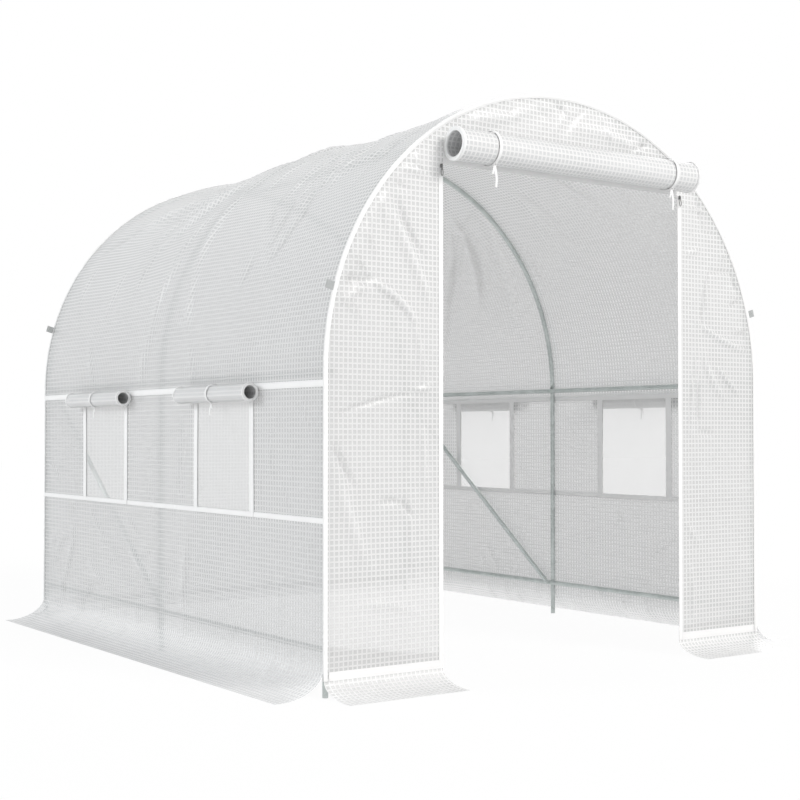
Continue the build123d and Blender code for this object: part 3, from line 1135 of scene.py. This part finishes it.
def make_ties(tape):
    """The two ties round the rolled door, and one round each rolled window flap."""
    middle = middle_of("door_roll")
    radius = size_of("door_roll").z / 2 + 0.0012
    low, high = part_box("door_roll_ties")
    half_tie = 0.0075
    parts = []
    for number, x in enumerate((low.x + half_tie, high.x - half_tie)):
        parts += tie(
            f"door_tie_{number}", Vector((x, middle.y, middle.z)), Vector((1, 0, 0)), radius, 0.012, tape,
            0.075, math.radians(-68), Vector((0, -1, 0)),
        )
    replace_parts(join("door_tie_tapes", parts), "door_roll_ties")
    parts = []
    for name, side in SIDES:
        node = f"{name}_window_rolls"
        middle = middle_of(node)
        radius = size_of(node).z / 2 + 0.001
        for number, y in enumerate(WINDOW_PLACES):
            parts += tie(
                f"window_tie_{side}{number}", Vector((middle.x, y, middle.z)), Vector((0, 1, 0)), radius,
                0.009, tape, 0.042, math.radians(-75), Vector((side, 0, 0)),
            )
    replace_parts(join("window_tie_tapes", parts), "window_ties")


def tube(bm, points, radius, sides=24, closed=False, across=None):
    """A round tube that follows points, with flat ends, or joined end to end where closed.

    across is where the section's first corner points. Without it, any way will do.
    """
    last = len(points) - 1
    rings = []
    for i, p in enumerate(points):
        if closed:
            ahead = (points[(i + 1) % len(points)] - points[i - 1]).normalized()
        else:
            ahead = (points[min(i + 1, last)] - points[max(i - 1, 0)]).normalized()
        if across is None:
            across = ahead.orthogonal().normalized()
        across = (across - ahead * across.dot(ahead)).normalized()
        over = ahead.cross(across)
        rings.append([
            bm.verts.new(p + (across * math.cos(a) + over * math.sin(a)) * radius)
            for a in (2 * math.pi * k / sides for k in range(sides))
        ])
    for first, second in zip(rings, rings[1:] + rings[:1] if closed else rings[1:]):
        for k in range(sides):
            n = (k + 1) % sides
            bm.faces.new([first[k], first[n], second[n], second[k]])
    if not closed:
        bm.faces.new(rings[0][::-1])
        bm.faces.new(rings[-1])


def make_hoops(steel):
    count = 72
    for node, y in HOOPS.items():
        points = []
        for a in (math.pi * i / count for i in range(count + 1)):
            points.append(Vector((HOOP_RADIUS * math.cos(a), y, SPRING + HOOP_RADIUS * math.sin(a))))
        bm = bmesh.new()
        tube(bm, points, TUBE_RADIUS)
        hoop = add_piece(node.replace("arch", "hoop"), bm, steel)
        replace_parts(hoop, node)


def make_bolts(steel):
    """Bolt heads and washers where rails and braces cross the hoops."""
    bm = bmesh.new()

    def head(place, axis):
        turn = UP.rotation_difference(axis).to_matrix().to_4x4()
        for radius, height, sides, start in ((0.0062, 0.0012, 20, 0.0), (0.0042, 0.0034, 6, 0.0012)):
            spot = Matrix.Translation(place + axis * (start + height / 2)) @ turn
            bmesh.ops.create_cone(
                bm, cap_ends=True, segments=sides, radius1=radius, radius2=radius * 0.93,
                depth=height, matrix=spot,
            )

    ys = HOOPS.values()
    for name, side in SIDES:
        for rail in ("lower", "upper"):
            low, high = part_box(f"{name}_{rail}_rail")
            x = low.x if side > 0 else high.x
            z = (low.z + high.z) / 2
            for y in ys:
                head(Vector((x, y, z)), Vector((-side, 0, 0)))
    low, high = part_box("ridge_rail")
    for y in ys:
        head(Vector((0, y, low.z)), -UP)
    add_piece("frame_bolts", bm, steel, smooth=False)


def make_tabs(webbing):
    """Short loops of webbing that stick out of the seams of the end hoops."""
    angle = math.asin((middle_of("webbing_tabs").z - SPRING) / (HALF_WIDTH + 0.0175))
    length, fold = 0.036, 0.0028
    straight = (0, 0.01, 0.02, length - fold)
    pieces = []
    for end in (-1, 1):
        for side in (-1, 1):
            out = Vector((side * math.cos(angle), 0, math.sin(angle)))
            up = Vector((-side * math.sin(angle), 0, math.cos(angle)))
            start = Vector((0, end * (END_Y - 0.0015), SPRING)) + out * (HALF_WIDTH - 0.004)

            def spot(along, away):
                return start + out * along + Vector((0, away, 0))

            points = [spot(t, fold / 2) for t in straight]
            for a in (math.radians(90 - d) for d in range(15, 180, 15)):
                points.append(spot(length - fold + math.cos(a) * fold / 2, math.sin(a) * fold / 2))
            points += [spot(t, -fold / 2) for t in reversed(straight)]
            pieces.append(ribbon(f"tab_{end}_{side}", points, up, 0.027, webbing, 0.0014))
    tabs = join("webbing_tab_loops", pieces)
    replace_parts(tabs, "webbing_tabs")


def make_sliders(alloy):
    """Zip sliders at the doorway's top corners, each with a hanging pull."""
    bm = bmesh.new()

    def block(centre, size, bevel):
        place = Matrix.Translation(centre) @ Matrix.Diagonal((*size, 1))
        made = bmesh.ops.create_cube(bm, size=1.0, matrix=place)
        edges = list({e for v in made["verts"] for e in v.link_edges})
        bmesh.ops.bevel(bm, geom=edges, offset=bevel, segments=3, affect="EDGES", profile=0.6)

    def ring(centre, wide, tall, wire):
        turns = (2 * math.pi * k / 24 for k in range(24))
        points = [centre + Vector((wide * math.cos(a), 0, tall * math.sin(a))) for a in turns]
        tube(bm, points, wire, sides=8, closed=True, across=Vector((0, 1, 0)))

    low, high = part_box("zip_sliders")
    half_slider = 0.0045
    y = (low.y + high.y) / 2
    for x in (low.x + half_slider, high.x - half_slider):
        block(Vector((x, y, high.z - 0.008)), (0.009, 0.0048, 0.013), 0.0015)
        block(Vector((x, y - 0.0028, high.z - 0.007)), (0.003, 0.0022, 0.008), 0.0008)
        ring(Vector((x, y - 0.003, high.z - 0.0155)), 0.0026, 0.0048, 0.0008)
        ring(Vector((x, y - 0.0034, high.z - 0.0300)), 0.0044, 0.0115, 0.0013)
    sliders = add_piece("zip_slider_pulls", bm, alloy)
    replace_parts(sliders, "zip_sliders")


def paint_frame(steel):
    """The posts, rails and braces stay as the CAD has them, with the steel's material."""
    for name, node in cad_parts.items():
        if name.endswith(("_posts", "_rail", "_brace")):
            node.data.materials.clear()
            node.data.materials.append(steel)
            node.data.shade_smooth()
            node.data.set_sharp_from_angle(angle=math.radians(35))


scene = bpy.context.scene
scene.view_settings.view_transform = "Standard"
make_camera()
make_world()
make_lights()
make_floor()

# Painted light: the cover's film is painted lighter near the floor and towards the top.
film = film_material("grid_film", painted_light_spans=((0.04, 0.16, 1.24, 1.0), (0.9, 1.6, 1.0, 1.04)), crease_white_and_highlight=0.22)
# Painted light: the ends' film is a copy of the cover's painted lighter, standing in for the light on the
# ends, and lighter again near the floor and over the arch.
painted_lighter_end_film = film_material(
    "painted_lighter_end_film", cell=grey(0.665), line=grey(0.78), cell_cover=0.77,
    painted_light_spans=((0.04, 0.11, 1.13, 1.0), (1.68, 1.80, 1.0, 1.10)),
)
# Painted light: the rolled film is painted lighter than the cover's film.
rolled = film_material(
    "lighter_rolled_film", cell=(0.69, 0.695, 0.70, 1), line=grey(0.84), cell_cover=0.93, line_cover=1.0,
    through=0.2,
)
tape = tape_material()
screen = screen_material()
steel = galvanised_material()
webbing = webbing_material()
alloy = zip_material()

make_hoops(steel)
make_cover(film)
make_front(painted_lighter_end_film)
make_foot_flaps(painted_lighter_end_film)
make_rear(painted_lighter_end_film)
make_side_bands(tape)
make_seam_band("front", -1, tape)
make_seam_band("rear", 1, tape)
make_door_trim(tape)
make_windows(tape, screen)
make_rolls(rolled, tape)
make_ties(tape)
make_bolts(steel)
make_tabs(webbing)
make_sliders(alloy)
paint_frame(steel)
